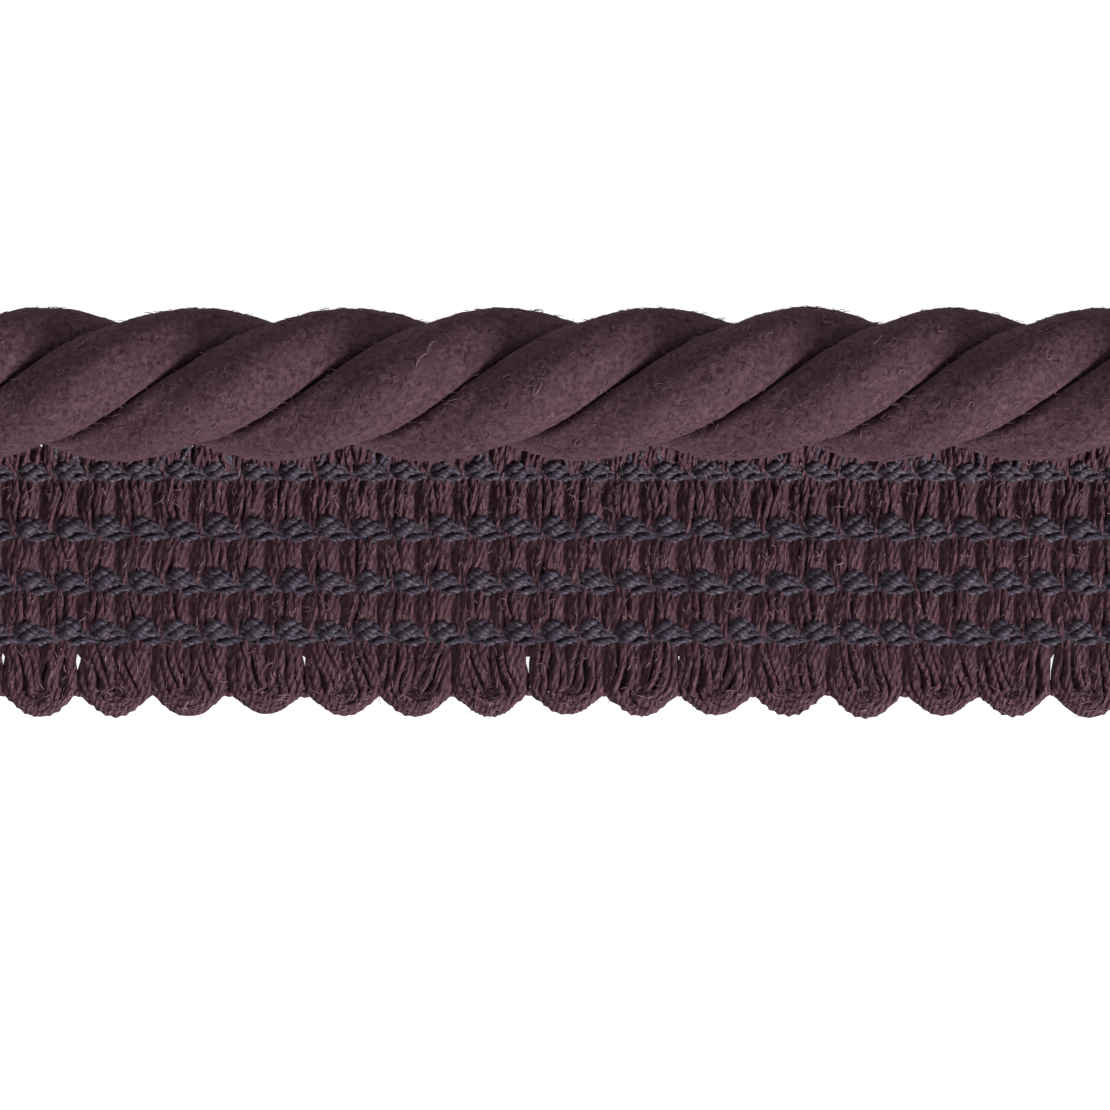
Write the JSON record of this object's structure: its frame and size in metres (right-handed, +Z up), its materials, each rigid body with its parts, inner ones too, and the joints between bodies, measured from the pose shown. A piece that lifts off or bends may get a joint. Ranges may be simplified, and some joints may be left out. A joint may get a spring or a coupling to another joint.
{
  "type": "lip cord trim",
  "caption": "Straight length of twisted cord held along the edge of a flat knitted lip, with chain-stitch rows and a rounded picot free edge, for sewing into a seam.",
  "frame": {"origin": "on the resting surface, under the middle of the whole trim's box", "axes": "+X along the trim, +Y from the lip towards the cord, +Z up out of the lip's face"},
  "size_m": [0.094, 0.0254, 0.0093],
  "materials": {
    "cord_yarn": "matt plum yarn, finely fibrous, in plump twisted strands",
    "weft_yarn": "matt plum yarn in upright ribs, slightly hairy",
    "chain_thread": "dark slate-navy filament thread with a soft lustre"
  },
  "bodies": {
    "root": {"cord": "cord_yarn", "lip": "weft_yarn", "chain_row_1": "chain_thread", "chain_row_2": "chain_thread", "chain_row_3": "chain_thread", "chain_row_4": "chain_thread"}
  },
  "joints": []
}
